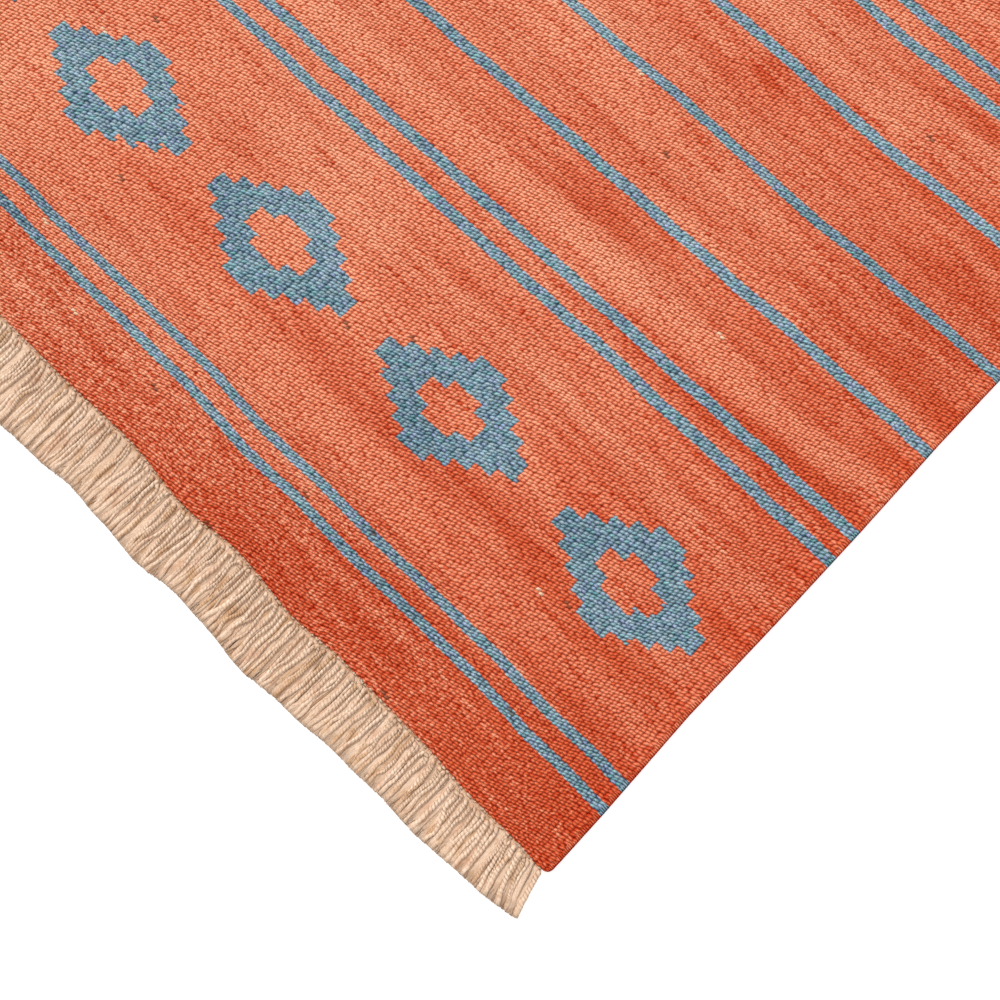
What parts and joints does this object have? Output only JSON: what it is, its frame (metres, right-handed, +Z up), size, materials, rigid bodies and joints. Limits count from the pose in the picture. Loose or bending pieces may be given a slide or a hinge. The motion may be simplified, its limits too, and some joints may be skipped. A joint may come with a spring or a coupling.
{
  "type": "kilim rug",
  "caption": "Flat-woven kilim rug lying flat, with rounded corners, slightly uneven selvedges and a trimmed warp fringe at both ends.",
  "frame": {"origin": "under the middle of the rug, on the face that it lies on", "axes": "+X across the warps towards the right selvedge, +Y along the warps towards the far fringe, +Z up"},
  "size_m": [1.2178, 1.8938, 0.003],
  "materials": {
    "wool_weft": "matte weft-faced wool, coral with dusty blue",
    "cotton_warp": "matte plied cream cotton"
  },
  "bodies": {
    "root": {"woven_ground": "wool_weft", "near_fringe": "cotton_warp", "far_fringe": "cotton_warp"}
  },
  "joints": []
}
